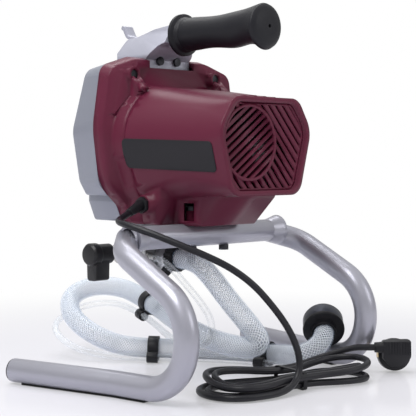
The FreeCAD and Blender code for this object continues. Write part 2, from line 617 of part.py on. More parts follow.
def build_gear_plate():
    across, lift = cluster_centre()
    plate = barrel(BODY_WALL + 0.3).common(box((-120, 120), PLATE_Y, (150, 340)))
    bosses = [rod(15.0, (0, PLATE_Y[0], MOTOR_Z), (0, -36, MOTOR_Z)),
              rod(18.0, (0, PLATE_Y[0], CRANK_Z), (0, -33, CRANK_Z)),
              rod(9.0, (across, PLATE_Y[0] - 3, lift), (across, -36, lift))]
    shelf = box((-26, 26), (-104, PLATE_Y[1]), (BLOCK_Z[1], BLOCK_Z[1] + 8))
    web = [(-41, BLOCK_Z[1], 1), (-41, 214, 1), (-49, 206, 4), (-92, BLOCK_Z[1] + 7, 1),
           (-92, BLOCK_Z[1], 1)]
    webs = [prism_x(web, x, x + 5) for x in (-26, 21)]
    foot = box((-26, 26), PLATE_Y, (BLOCK_Z[1], 200))
    lug = box((-20, 20), (-76, -61), (296, 358))
    neck = box((-20, 20), (-62, PLATE_Y[1]), (296, 315))
    body = join(plate, *bosses, shelf, *webs, foot, lug, neck)
    ways = [rod(4.2, (0, -60, MOTOR_Z), (0, -30, MOTOR_Z)),
            rod(11.0, (0, -46.01, MOTOR_Z), (0, -39, MOTOR_Z)),
            rod(14.0, (0, -46.01, CRANK_Z), (0, -35, CRANK_Z)),
            rod(8.0, (0, -60, CRANK_Z), (0, -30, CRANK_Z)),
            rod(4.0, (across, -50, lift), (across, -46, lift)),
            rod(13.0, (0, PUMP_Y, 150), (0, PUMP_Y, 190))]
    ways += [rod(2.6, (x, -70, 352), (x, -60, 352)) for x in (-13, 13)]
    ways += [rod(2.5, (x, PLATE_Y[0] - 1, z), (x, PLATE_Y[1] + 1, z)) for x, z in PLATE_SCREWS]
    ways += [rod(3.3, (x, y, 150), (x, y, 190)) for x in (-14.5, 14.5) for y in (-98, -70)]
    save("gear_plate", body.cut(Part.makeCompound(ways)))
    return [join(rod(4.5, (x, -50, z), (x, -46, z)), rod(2.2, (x, -46, z), (x, -28, z)))
            for x, z in PLATE_SCREWS]


def build_pump():
    z0, z1 = BLOCK_Z
    block = prism_z([(28, -104, 4), (28, -64, 4), (-28, -64, 4), (-28, -104, 4)], z0, z1)
    ways = [rod(8.0, (0, PUMP_Y, 130), (0, PUMP_Y, 150)), rod(9.0, (0, PUMP_Y, 143), (0, PUMP_Y, z1)),
            rod(10.5, (0, PUMP_Y, z1 - 5), (0, PUMP_Y, z1 + 1)),
            rod(5.0, (0, PUMP_Y, INLET_Z), (0, PUMP_Y, 131)),
            rod(5.0, (0, PUMP_Y, INLET_Z), (0, -60, INLET_Z)),
            rod(8.0, (0, -76, INLET_Z), (0, -60, INLET_Z)),
            rod(3.0, (0, PUMP_Y, 139), (-30, PUMP_Y, 139)), rod(6.6, (-16, PUMP_Y, 139), (-30, PUMP_Y, 139)),
            rod(2.0, (0, PUMP_Y, 139), (10, -96, 133)), rod(5.05, (8, *VALVE_AXIS), (30, *VALVE_AXIS)),
            rod(4.0, (21, -76, 128), (21, -60, 128)), rod(2.0, (21, -94, 131), (21, -75, 128))]
    ways += [rod(2.6, (x, y, z1 - 20), (x, y, z1 + 1)) for x in (-14.5, 14.5) for y in (-98, -70)]
    save("pump_block", block.cut(Part.makeCompound(ways)))
    bolts = [join(hexagon(4.6, (x, y, z1 + 8), (x, y, z1 + 12)), rod(2.6, (x, y, z1 - 16), (x, y, z1 + 8)))
             for x in (-14.5, 14.5) for y in (-98, -70)]
    save("pump_bolts", *bolts)
    save("cylinder_sleeve", collar(9.0, PISTON_R + 0.04, (0, PUMP_Y, 143), (0, PUMP_Y, 157)))
    rings = [collar(9.0, PISTON_R + 0.03, (0, PUMP_Y, z), (0, PUMP_Y, z + 1.8)) for z in (157.2, 159.2)]
    save("piston_seals", *rings)
    nut = join(rod(10.5, (0, PUMP_Y, z1 - 5), (0, PUMP_Y, z1)),
               hexagon(11.0, (0, PUMP_Y, z1), (0, PUMP_Y, z1 + 4.2)))
    save("packing_nut", nut.cut(rod(PISTON_R + 0.1, (0, PUMP_Y, 150), (0, PUMP_Y, 190))))
    seat = collar(8.0, 3.0, (0, PUMP_Y, 130), (0, PUMP_Y, 134))
    drop = math.sqrt(4.5 ** 2 - 3.0 ** 2)
    inlet_ball = Part.makeSphere(4.45, V(0, PUMP_Y, 134 + drop))
    outlet_ball = Part.makeSphere(4.0, V(-20.5, PUMP_Y, 139))
    save("pump_valves", seat, inlet_ball, outlet_ball)
    nipple = join(rod(6.6, (-26, PUMP_Y, 139), (-28, PUMP_Y, 139)),
                  hexagon(9.5, (-28, PUMP_Y, 139), (-34, PUMP_Y, 139)),
                  rod(6.5785, (-34, PUMP_Y, 139), (-46, PUMP_Y, 139)))
    barb = join(rod(4.0, (21, -76, 128), (21, -64, 128)), hexagon(5.5, (21, -64, 128), (21, -61, 128)),
                rod(2.7, (21, -61, 128), (21, -54, 128)))
    save("pump_nipples", nipple.cut(rod(2.5, (-20, PUMP_Y, 139), (-50, PUMP_Y, 139))),
         barb.cut(rod(1.5, (21, -80, 128), (21, -40, 128))))
    build_piston()
    build_inlet()
    build_valve()


def hexagon(radius, start, end):
    """A hexagonal bar; radius is half of the width across flats."""
    axis = at(end) - at(start)
    corner = radius / math.cos(math.pi / 6)
    points = []
    for n in range(7):
        angle = n * math.pi / 3
        points.append(V(corner * math.cos(angle), corner * math.sin(angle), 0))
    bar = Part.Face(Part.makePolygon(points)).extrude(V(0, 0, axis.Length))
    bar.Placement = FreeCAD.Placement(at(start), FreeCAD.Rotation(V(0, 0, 1), axis))
    return bar


def build_piston():
    wrist_z = CRANK_Z + CRANK_THROW - ROD_LENGTH
    stem = rod(PISTON_R, (0, PUMP_Y, 156.8), (0, PUMP_Y, wrist_z - 9))
    foot = box((-7, 7), (PUMP_Y - 7.6, PUMP_Y + 7.6), (wrist_z - 12.0, wrist_z - 8.6))
    cheeks = []
    for y0 in (PUMP_Y - 7.6, PUMP_Y + 4.3):
        cheek = join(box((-7, 7), (y0, y0 + 3.3), (wrist_z - 9, wrist_z)),
                     rod(7.0, (0, y0, wrist_z), (0, y0 + 3.3, wrist_z)))
        cheeks.append(cheek.cut(rod(4.0, (0, y0 - 1, wrist_z), (0, y0 + 5, wrist_z))))
    save("piston", join(stem, foot, *cheeks))
    save("wrist_pin", rod(4.0, (0, PUMP_Y - 7.6, wrist_z), (0, PUMP_Y + 7.6, wrist_z)))
    top_z = wrist_z + ROD_LENGTH
    y0, y1 = PUMP_Y - 4.0, PUMP_Y + 4.0
    big = rod(9.5, (0, y0, top_z), (0, y1, top_z))
    small = rod(7.5, (0, y0, wrist_z), (0, y1, wrist_z))
    web = prism_y([(4.5, wrist_z, 1), (5.5, top_z, 1), (-5.5, top_z, 1), (-4.5, wrist_z, 1)], y0 + 1.5,
                  y1 - 1.5)
    bores = [rod(4.05, (0, y0 - 1, wrist_z), (0, y1 + 1, wrist_z)),
             rod(5.0, (0, y0 - 1, top_z), (0, y1 + 1, top_z))]
    save("connecting_rod", join(big, small, web).cut(Part.makeCompound(bores)))
    save("crank_pin", rod(5.0, (0, y0 - 2, top_z), (0, -77.3, top_z)))


def build_inlet():
    body = join(rod(8.0, (0, -76, INLET_Z), (0, -34, INLET_Z)),
                rod(12.5, (0, -64, INLET_Z), (0, -55, INLET_Z)),
                *[cone(HOSE_BORE_R, 7.6, (0, y, INLET_Z), (0, y + 6, INLET_Z)) for y in (-34, -28, -22)])
    save("inlet_fitting", body.cut(rod(5.5, (0, -80, INLET_Z), (0, -10, INLET_Z))))
    nut = hexagon(13.5, (0, -55, INLET_Z), (0, -46, INLET_Z))
    save("inlet_nut", nut.cut(rod(8.0, (0, -60, INLET_Z), (0, -40, INLET_Z))))
    ring = rod(15.5, (0, -45.6, INLET_Z), (0, -34, INLET_Z))
    wings = []
    for side in (-1, 1):
        wing = prism_y([(10, -5, 2), (26, -4, 3.5), (26, 4, 3.5), (10, 5, 2)], -44, -36)
        wing.rotate(V(0, 0, 0), V(0, 1, 0), 42 if side > 0 else 222)
        wing.translate(V(0, 0, INLET_Z))
        wings.append(wing)
    flutes = []
    for n in range(18):
        angle = math.radians(20 * n + 10)
        cx, cz = 16.3 * math.cos(angle), INLET_Z + 16.3 * math.sin(angle)
        flutes.append(rod(1.5, (cx, -47, cz), (cx, -33, cz)))
    body = join(ring.cut(Part.makeCompound(flutes)), *wings)
    save("inlet_wing_nut", body.cut(rod(8.0, (0, -50, INLET_Z), (0, -30, INLET_Z))))


def build_valve():
    y, z = VALVE_AXIS
    bonnet = join(hexagon(10.5, (28, y, z), (40, y, z)), rod(8.5, (40, y, z), (51.5, y, z)))
    save("prime_valve_bonnet", bonnet.cut(rod(4.05, (20, y, z), (60, y, z))))
    stem = join(rod(5.0, (10, y, z), (26, y, z)), rod(4.0, (26, y, z), (70, y, z)))
    save("prime_valve_stem", stem)
    body = join(rod(11.5, (52, y, z), (70, y, z)),
                turned([(0, 0), (0, 12.5), (1.5, 13), (9.5, 13), (12, 11), (12, 0)],
                                                         (70, y, z), (1, 0, 0)))
    leg = prism_x([(y - 9, z, 1), (y - 8, z - 30, 4), (y + 8, z - 30, 4), (y + 9, z, 1)], 58, 77)
    save("prime_knob", join(body, leg).cut(rod(4.0, (40, y, z), (70, y, z))))


# Controls on the front cover

def build_controls():
    x, z = 48.0, 262.0
    face = COVER_FACE_Y - 3
    skirt = turned([(0.4, 0), (0.4, 18.5), (6, 18.5), (17, 15.5), (20.4, 14.5), (21.37, 12), (21.37, 0)],
                   (x, face, z), (0, -1, 0))
    flutes = []
    for n in range(12):
        angle = math.radians(30 * n + 15)
        cx, cz = x + 18.0 * math.cos(angle), z + 18.0 * math.sin(angle)
        flutes.append(rod(2.2, (cx, face - 6, cz), (cx, face - 25, cz)))
    pointer = box((x - 0.8, x + 0.8), (face - 22, face - 20.6), (z + 2, z + 11))
    bore = rod(3.0, (x, face + 1, z), (x, face - 13, z))
    spindle = rod(3.0, (x, -104.8, z), (x, face - 13, z))
    save("pressure_knob", skirt.cut(Part.makeCompound(flutes + [bore, pointer])), spindle)
    pot = join(rod(8.5, (x, -100.2, z), (x, -108, z)), rod(4.3, (x, -108, z), (x, face + 0.2, z)))
    pot = pot.cut(rod(3.05, (x, -104.4, z), (x, -120, z)))
    board = box((26, 74), (-100.2, -98.6), (238, 288))
    parts = [box((32, 44), (-98.6, -90), (274, 284)), rod(5.0, (62, -98.6, 278), (62, -84, 278)),
             box((34, 60), (-98.6, -94), (242, 250))]
    save("control_board", join(board, *parts), pot)
    sx, sz = -48.0, 262.0
    edge = [(sx + 12.5, sz + 16.5, 2), (sx + 12.5, sz - 16.5, 2), (sx - 12.5, sz - 16.5, 2),
            (sx - 12.5, sz + 16.5, 2)]
    frame = prism_y(edge, COVER_FACE_Y - 2, COVER_FACE_Y)
    body = box((sx - 10, sx + 10), (COVER_FACE_Y, -95), (sz - 13.8, sz + 13.8))
    hollow = box((sx - 8.4, sx + 8.4), (COVER_FACE_Y - 3, -101), (sz - 12.4, sz + 12.4))
    tabs = [box((sx - 7, sx - 6.2), (-95, -88), (sz + d - 3, sz + d + 3)) for d in (-7, 7)]
    pivot_way = rod(1.53, (sx - 12, ROCKER_Y, sz), (sx + 12, ROCKER_Y, sz))
    save("switch_frame", join(frame, body).cut(Part.makeCompound([hollow, pivot_way])), *tabs)
    save("switch_rocker", rocker_body(sx, sz))


def rocker_body(sx, sz):
    """A rocker pressed in at its lower end; it pivots on its own trunnions."""
    body = prism_x([(-117.5, sz + 10.6, 1), (-113.5, sz, 10), (-113.6, sz - 11.3, 1), (-107.5, sz - 10.5, 2),
                    (-106.5, sz, 2), (-107.5, sz + 10.5, 2)], sx - 8.0, sx + 8.0)
    return join(body, rod(1.5, (sx - 9.5, ROCKER_Y, sz), (sx + 9.5, ROCKER_Y, sz)))


def build_gland():
    gland = join(rod(6.0, (68.5, -14, 191), (72.5, -14, 191)),
                 hexagon(8.0, (72.5, -14, 191), (77, -14, 191)))
    boot = cone(6.2, 4.4, (77, -14, 191), (97, -10, 183))
    return gland, boot.cut(gland)


# Hose, return tube and power cord

HOSE_POINTS = [(0, -34, 127), (0, -12, 127), (-1, 18, 122), (-5, 49, 106), (-8, 77, 82), (-7, 75, 54),
               (-3, 53, 38),
               (4, 26, 40), (0, -12, 46), (-14, -58, 53), (-31, -103, 61), (-42, -147, 69), (-45, -187, 78),
               (-24, -219, 80), (10, -223, 70), (31, -200, 52), (34, -166, 35), (20, -135, 21),
               (3, -113, 15.5),
               (-31, -75, 14.6), (-58, -36, 14.6), (-78, 6, 14.6), (-88, 44, 15), (-84, 74, 17.5),
               (-96, 88, 26),
               (-112, 88, 37.5), (-121.5, 79, 43.5)]
RETURN_POINTS = [(21, -61, 128), (21, -45, 128), (20, -25, 117), (17, -5, 100), (14, 14, 83), (14, 31, 66),
                 (18, 37, 49), (21, 27, 35), (22, 8, 33), (16, -22, 34), (-2, -62, 38), (-20, -104, 45.5),
                 (-31, -148, 53.5),
                 (-32, -184, 60), (-12, -211, 58), (16, -224, 47), (42, -216, 37), (56, -190, 26),
                 (54, -158, 15),
                 (38, -127, 8.5), (15.4, -102, 6.7), (-18.6, -64, 6.7), (-44, -27, 6.7), (-62, 10, 6.7),
                 (-72, 48, 6.5), (-71, 70, 6.0)]
LEAD_POINTS = [(97, -10, 183), (109.8, -7.44, 177.88), (121.5, 1, 175.8), (128, 14.5, 174.5), (127, 32, 171),
               (118, 55, 164), (104, 77, 154), (87, 97, 143.5), (68, 114, 131), (49, 127, 114),
               (33, 136, 94),
               (18, 143, 73), (7, 147.5, 52), (2.5, 150.5, 32), (11, 153.5, 13)]
HANK_CENTRE = (-12.0, 126.0)
HANK_AXIS = (0.983, -0.184)
HANK_LENGTH = 103.0
HANK_START = 0.1
HANK_TURNS = 3.5
CORD_PITCH = 8.3
PLUG_CENTRE = (-158.0, 152.0, 20.2)
STRAINER_AXIS = (-0.66, -0.62, 0.42)


def free_radii(points):
    """The largest tangent arc that each corner's two runs allow."""
    radii = []
    for i in range(1, len(points) - 1):
        before = at(points[i]) - at(points[i - 1])
        after = at(points[i + 1]) - at(points[i])
        radii.append(0.45 * min(before.Length, after.Length) / math.tan(before.getAngle(after) / 2))
    return radii


def free_tube(name, points, radius, bore=0.0):
    radii = free_radii(points)
    edges = path_edges(points, radii)
    length = sum(e.Length for e in edges)
    tube = tube_on(edges, radius)
    expected = math.pi * radius ** 2 * length
    print(name, "length %.0f" % length, "least radius %.1f" % min(radii),
          "volume ratio %.4f" % (tube.Volume / expected))
    if bore:
        tube = tube.cut(tube_on(edges, bore))
    return tube


def hank_point(turn):
    """The cord's centreline in the hank: nested loops, drawn in at the tied waist, in two layers."""
    half = HANK_TURNS / 2
    nested = half - abs(turn - half)
    angle = 2 * math.pi * turn
    length = HANK_LENGTH - CORD_PITCH * nested
    waist = 22.2 - 9.4 * nested
    lobe = 67.0 + 6.0 * math.sin(angle) - 7.7 * nested
    along = length * math.sin(angle)
    across = math.cos(angle) * (waist + lobe * (math.hypot(math.sin(angle), 0.2) - 0.2))
    climb = min(max((turn - half + 0.15) / 0.3, 0.0), 1.0)
    lift = CORD_R + 1.9 - 1.4 * math.sin(angle) ** 2 + 8.1 * climb ** 2 * (3 - 2 * climb)
    ux, uy = HANK_AXIS
    return V(HANK_CENTRE[0] + ux * along - uy * across, HANK_CENTRE[1] + uy * along + ux * across, lift)


def biarc(p0, t0, p1, t1):
    """Two tangent arcs from p0 heading t0 to p1 heading t1."""
    gap = p1 - p0
    both = t0 + t1
    a = 2 * (1 - t0.dot(t1))
    b = 2 * gap.dot(both)
    c = -gap.dot(gap)
    reach = -c / b if abs(a) < 1e-9 else (-b + math.sqrt(b * b - 4 * a * c)) / (2 * a)
    middle = (p0 + t0 * reach + p1 - t1 * reach) * 0.5
    return [arc_from(p0, t0, middle), arc_from(p1, t1 * -1, middle, True)]


def arc_from(start, heading, end, back=False):
    chord = end - start
    angle = heading.getAngle(chord)
    if angle < 1e-4:
        return (Part.LineSegment(end, start) if back else Part.LineSegment(start, end)).toShape()
    side = (heading - chord * (heading.dot(chord) / chord.dot(chord))).normalize()
    top = start + chord * 0.5 + side * (chord.Length / 2 * math.tan(angle / 2))
    arc = Part.Arc(end, top, start) if back else Part.Arc(start, top, end)
    return arc.toShape()


def hank_edges():
    stops = [hank_point(HANK_START + n / 12) for n in range(43)]
    headings = []
    for n in range(43):
        turn = HANK_START + n / 12
        headings.append((hank_point(turn + 0.002) - hank_point(turn - 0.002)).normalize())
    neck, into = plug_place(V(-24, -12, 8)), plug_place(V(1, 0, 0)) - plug_place(V(0, 0, 0))
    start = stops[0] - headings[0] * (2 * CORD_R)
    edges = [Part.LineSegment(start, stops[0]).toShape()]
    for n in range(42):
        edges += biarc(stops[n], headings[n], stops[n + 1], headings[n + 1])
    finish = neck - into * (2 * CORD_R)
    edges += biarc(stops[-1], headings[-1], finish, into)
    edges.append(Part.LineSegment(finish, neck).toShape())
    return edges, start, headings[0]


def least_gap(edges, radius, apart):
    """The smallest space between two stretches of a tube that are further apart than this along it."""
    points, along, total = [], [], 0.0
    for edge in edges:
        steps = max(2, int(edge.Length / 2.5))
        for k in range(steps):
            points.append(edge.valueAt(edge.FirstParameter
                                       + (edge.LastParameter - edge.FirstParameter) * k / steps))
            along.append(total + edge.Length * k / steps)
        total += edge.Length
    least = 1e9
    for i in range(len(points)):
        for j in range(i + 1, len(points)):
            if along[j] - along[i] > apart:
                least = min(least, points[i].distanceToPoint(points[j]))
    return least - 2 * radius, total


def plug_place(local):
    """The plug's own axes: X along its cord, Y along its pins, Z up."""
    across = V(-0.711, 0.703, 0).normalize()
    pins = V(-0.695, -0.703, -0.15).normalize()
    up = across.cross(pins)
    return at(PLUG_CENTRE) + across * local.x + pins * local.y + up * local.z


def plug_matrix():
    o = plug_place(V(0, 0, 0))
    x, y, z = (plug_place(V(*a)) - o for a in ((1, 0, 0), (0, 1, 0), (0, 0, 1)))
    return FreeCAD.Matrix(x.x, y.x, z.x, o.x, x.y, y.y, z.y, o.y, x.z, y.z, z.z, o.z, 0, 0, 0, 1)


def build_cords():
    edges, start, heading = hank_edges()
    gap, length = least_gap(edges, CORD_R, 30)
    hank = tube_on(edges, CORD_R)
    print("power_hank length %.0f" % length, "least gap %.2f" % gap,
          "volume ratio %.4f" % (hank.Volume / (math.pi * CORD_R ** 2 * length)))
    save("power_hank", hank)
    lead = LEAD_POINTS + [tuple(start - heading * 18), tuple(start)]
    save("power_lead", free_tube("power_lead", lead, CORD_R))
    gland, boot = build_gland()
    save("cable_gland", gland, boot)
    tie_outer = prism_x([(-28.0, 0.15, 3), (23.4, 0.15, 3), (23.4, 19.6, 4), (-28.0, 19.6, 4)], -2.5, 2.5)
    tie_inner = prism_x([(-26.9, 1.25, 2), (22.3, 1.25, 2), (22.3, 18.5, 3), (-26.9, 18.5, 3)], -3, 3)
    tie = tie_outer.cut(tie_inner)
    tie.rotate(V(0, 0, 0), V(0, 0, 1), math.degrees(math.atan2(HANK_AXIS[1], HANK_AXIS[0])))
    tie.translate(V(HANK_CENTRE[0], HANK_CENTRE[1], 0))
    save("cord_tie", tie)
    build_plug()


def build_plug():
    disc = turned([(-4, 0), (-4, 15), (-1, 18.3), (12, 18.3), (12, 0)], (0, 0, 0), (0, 1, 0))
    back = prism_y([(16, 17.5, 4), (16, -4, 3), (6, -14, 8), (-6, -14, 8), (-15, -4, 3), (-15, 16.5, 4)],
                   -18, 0)
    taper = prism_x([(4, 20, 1), (-8, 20, 6), (-18.5, 14, 4), (-18.5, 0, 6), (-3, -17, 4), (4, -17, 1)],
                    -30, 30)
    neck = cone(5.6, 6.6, (-24, -12, 8), (-13, -12, 8))
    ribs = [box((x, x + 1.2), (-20, -17.9), (-2, 20)) for x in range(-10, 15, 3)]
    body = join(disc, back.common(taper), neck).cut(Part.makeCompound(ribs))
    clips_way = [box(sorted((side * 17.2, side * 20)), (-1, 13), (-3.4, 3.4)) for side in (-1, 1)]
    body = body.cut(Part.makeCompound(clips_way))
    pins = [join(rod(2.4, (0, 12, z), (0, 29.5, z)), Part.makeSphere(2.4, V(0, 29.5, z))) for z in (-9.5,
                                                                                                    9.5)]
    clips = [box(sorted((side * 17.2, side * 18.6)), (-0.5, 13), (-3.2, 3.2)) for side in (-1, 1)]
    for name, pieces in (("power_plug", [body]), ("plug_contacts", pins + clips)):
        save(name, *[moved(p) for p in pieces])


def moved(piece):
    placed = piece.copy()
    placed.Placement = FreeCAD.Placement(plug_matrix()).multiply(placed.Placement)
    return placed


def hose_clip(centre, heading, towards):
    """A figure-eight clip: one band round the hose and a small one round the return tube."""
    axis = at(heading).normalize()
    side = at(towards) - at(centre)
    side = (side - axis * side.dot(axis))
    reach = side.Length
    side.normalize()
    ends = [at(centre) - axis * 6.5, at(centre) + axis * 6.5]
    small = [e + side * reach for e in ends]
    big_band = rod(14.4, tuple(ends[0]), tuple(ends[1]))
    small_band = rod(6.4, tuple(small[0]), tuple(small[1]))
    across = axis.cross(side)
    profile = Part.makePolygon([ends[0] + across * 3, ends[0] + side * reach + across * 3,
                                ends[0] + side * reach - across * 3, ends[0] - across * 3,
                                ends[0] + across * 3])
    web = Part.Face(profile).extrude(axis * 13)
    bores = [rod(HOSE_R + 0.3, tuple(ends[0] - axis * 5), tuple(ends[1] + axis * 5)),
             rod(RETURN_R + 0.3, tuple(small[0] - axis * 5), tuple(small[1] + axis * 5))]
    return join(big_band, small_band, web).cut(Part.makeCompound(bores))


def build_hoses():
    hose = free_tube("suction_hose", HOSE_POINTS, HOSE_R, HOSE_BORE_R)
    tube = free_tube("return_tube", RETURN_POINTS, RETURN_R, RETURN_BORE_R)
    save("suction_hose", hose)
    save("return_tube", tube)
    clips = []
    for hose_run, tube_run in ((10, 11), (18, 20), (21, 23)):
        a, b = at(HOSE_POINTS[hose_run]), at(HOSE_POINTS[hose_run + 1])
        c, d = at(RETURN_POINTS[tube_run]), at(RETURN_POINTS[tube_run + 1])
        heading = (b - a).normalize()
        middle = (a + b) * 0.5
        beside = c + (d - c) * ((middle - c).dot(heading) / (d - c).dot(heading))
        clips.append(hose_clip(tuple(middle), tuple(heading), tuple(beside)))
    save("hose_clips", *clips)
    axis = at(STRAINER_AXIS).normalize()
    end = at(HOSE_POINTS[-1])
    cap = turned([(-7, HOSE_R + 0.3), (-7, HOSE_R + 2.3), (0, HOSE_R + 2.8), (0, 23), (1, 24), (4, 24),
                  (5, 23.2),
                  (5, 0), (0.3, 0), (0.3, HOSE_R + 0.3)], tuple(end), tuple(axis))
    save("strainer_cap", cap)
    mesh = turned([(5, 19.5), (5, 22.6), (8, 23.4), (20, 23.4), (23, 22), (24, 17), (24, 0), (22.4, 0),
                   (22.4, 16.4),
                   (19.4, 20.4), (6, 20.4)], tuple(end), tuple(axis))
    save("strainer_mesh", mesh)


def build_screws(others):
    """Two long bolts hold the body down on the cross tube; the rest hold the cover, plate and bracket."""
    bolts = []
    for x in (-25, 25):
        bolt = rod(3.0, (x, CROSS_Y, CROSS_Z - TUBE_R - 1), (x, CROSS_Y, 184))
        head = rod(5.5, (x, CROSS_Y, CROSS_Z - TUBE_R - 6), (x, CROSS_Y, CROSS_Z - TUBE_R))
        curve = rod(TUBE_R, (x - 9, CROSS_Y, CROSS_Z), (x + 9, CROSS_Y, CROSS_Z))
        bolts.append(join(head.cut(curve), bolt, hexagon(5.0, (x, CROSS_Y, 184), (x, CROSS_Y, 189))))
    save("housing_screws", *(others + bolts))


build_stand()
build_housing()
screws = build_cover() + build_handle() + build_gear_plate()
build_screws(screws)
build_motor()
build_gears()
build_pump()
build_controls()
build_cords()
build_hoses()
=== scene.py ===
# %% [markdown]
# # Airless paint sprayer on a tube stand
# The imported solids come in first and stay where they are. Everything after this dresses them: finishes for
# the castings, the plastic and the steel, and new meshes for the soft pieces, which are the two hoses and the cord.
# Lengths below are in millimetres where a name ends in _mm, and in metres in every call to Blender.

# %% Load the frame
import json
import math
import bmesh
import bpy
from mathutils import Matrix, Vector


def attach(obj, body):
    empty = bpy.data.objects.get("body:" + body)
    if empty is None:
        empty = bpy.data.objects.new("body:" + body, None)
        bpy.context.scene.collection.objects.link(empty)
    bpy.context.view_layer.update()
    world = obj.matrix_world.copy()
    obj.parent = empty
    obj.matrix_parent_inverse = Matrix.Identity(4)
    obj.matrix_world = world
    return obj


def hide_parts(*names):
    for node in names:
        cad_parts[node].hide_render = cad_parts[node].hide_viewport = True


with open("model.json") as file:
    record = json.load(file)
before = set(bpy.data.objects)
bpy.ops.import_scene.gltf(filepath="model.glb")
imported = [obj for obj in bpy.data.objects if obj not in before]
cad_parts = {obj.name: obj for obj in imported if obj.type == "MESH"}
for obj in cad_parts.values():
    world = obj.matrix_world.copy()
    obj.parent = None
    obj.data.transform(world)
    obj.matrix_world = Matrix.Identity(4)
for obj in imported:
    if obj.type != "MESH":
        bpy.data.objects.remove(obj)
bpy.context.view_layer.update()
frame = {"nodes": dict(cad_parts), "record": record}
nodes = frame["nodes"]


def metres(point_mm):
    return Vector(point_mm) / 1000.0


# %% [markdown]
# The camera stands behind the machine on the cord's side, a little above the floor, as a product
# photographer would place it. A long lens keeps the near tube from looking larger than it is.

# %% Camera
CAMERA_PLACE = (0.89665, 0.91983, 0.24282)
CAMERA_HEADING = math.radians(135.35)
CAMERA_DIP = math.radians(-2.54)
camera_data = bpy.data.cameras.new("camera")
camera_data.lens = 99.25
camera_data.sensor_width = 36.0
camera_data.clip_start = 0.01
camera = bpy.data.objects.new("camera", camera_data)
bpy.context.scene.collection.objects.link(camera)
camera.location = CAMERA_PLACE
gaze = Vector((-math.sin(CAMERA_HEADING) * math.cos(CAMERA_DIP), math.cos(CAMERA_HEADING) * math.cos(CAMERA_DIP),
               math.sin(CAMERA_DIP)))
camera.rotation_mode = "QUATERNION"
camera.rotation_quaternion = gaze.to_track_quat("-Z", "Y")
bpy.context.scene.camera = camera
print("camera looks along", [round(v, 3) for v in gaze])

# %% [markdown]
# A finish is a few layers. Moulded plastic has a fine grain and slightly uneven gloss; paint on a casting
# has a soft orange peel; rubber is dull and catches dust. These layers are shared, so each is a node group
# with named inputs, and each finish feeds it its own numbers.

# %% Shader helpers
def new_group(name, inputs, outputs):
    """A shader node group with its inputs, their first values, and its outputs."""
    group = bpy.data.node_groups.new(name, "ShaderNodeTree")
    for label, default in inputs:
        kind = "NodeSocketColor" if isinstance(default, tuple) else "NodeSocketFloat"
        socket = group.interface.new_socket(label, in_out="INPUT", socket_type=kind)
        socket.default_value = default
    for label, kind in outputs:
        group.interface.new_socket(label, in_out="OUTPUT", socket_type=kind)
    return group, group.nodes.new("NodeGroupInput"), group.nodes.new("NodeGroupOutput")


def maths(tree, operation, a, b=None):
    node = tree.nodes.new("ShaderNodeMath")
    node.operation = operation
    for slot, value in ((0, a), (1, b)):
        if value is None:
            continue
        if isinstance(value, (int, float)):
            node.inputs[slot].default_value = value
        else:
            tree.links.new(value, node.inputs[slot])
    return node.outputs[0]


def noise(tree, place, scale, detail=4.0, rough=0.5):
    node = tree.nodes.new("ShaderNodeTexNoise")
    node.inputs["Detail"].default_value = detail
    node.inputs["Roughness"].default_value = rough
    tree.links.new(place, node.inputs["Vector"])
    if isinstance(scale, (int, float)):
        node.inputs["Scale"].default_value = scale
    else:
        tree.links.new(scale, node.inputs["Scale"])
    return node.outputs["Fac"]


def blend_colour(tree, share, first, second):
    node = tree.nodes.new("ShaderNodeMix")
    node.data_type = "RGBA"
    for socket, value in ((node.inputs["Factor"], share), (node.inputs[6], first), (node.inputs[7], second)):
        if isinstance(value, (int, float, tuple)):
            socket.default_value = value
        else:
            tree.links.new(value, socket)
    return node.outputs[2]


# %% [markdown]
# Every moulded or painted surface here has a grain too fine to see as shapes, and patches a little glossier
# than the rest. One noise gives the grain as a height, a coarser one the patches, so one group serves all.

# %% A group for grain and uneven gloss
def make_surface_group():
    group, given, put = new_group(
        "grain_and_gloss",
        [("Colour", (0.5, 0.5, 0.5, 1.0)), ("Grain Scale", 900.0), ("Cloud Scale", 18.0), ("Cloud Depth", 0.08),
         ("Roughness", 0.4), ("Roughness Spread", 0.12)],
        [("Colour", "NodeSocketColor"), ("Roughness", "NodeSocketFloat"), ("Height", "NodeSocketFloat")])
    place = group.nodes.new("ShaderNodeTexCoord").outputs["Object"]
    grain = noise(group, place, given.outputs["Grain Scale"], 3.0, 0.6)
    cloud = noise(group, place, given.outputs["Cloud Scale"], 5.0, 0.55)
    shift = maths(group, "MULTIPLY", maths(group, "SUBTRACT", cloud, 0.5), given.outputs["Cloud Depth"])
    bright = maths(group, "ADD", shift, 1.0)
    scaled = group.nodes.new("ShaderNodeVectorMath")
    scaled.operation = "SCALE"
    group.links.new(given.outputs["Colour"], scaled.inputs[0])
    group.links.new(bright, scaled.inputs["Scale"])
    group.links.new(scaled.outputs[0], put.inputs["Colour"])
    spread = maths(group, "MULTIPLY", maths(group, "SUBTRACT", cloud, 0.5), given.outputs["Roughness Spread"])
    group.links.new(maths(group, "ADD", spread, given.outputs["Roughness"]), put.inputs["Roughness"])
    group.links.new(grain, put.inputs["Height"])
    return group


# %% [markdown]
# Dust settles where a face looks up. The world normal says where that is, and a noise breaks the layer up.

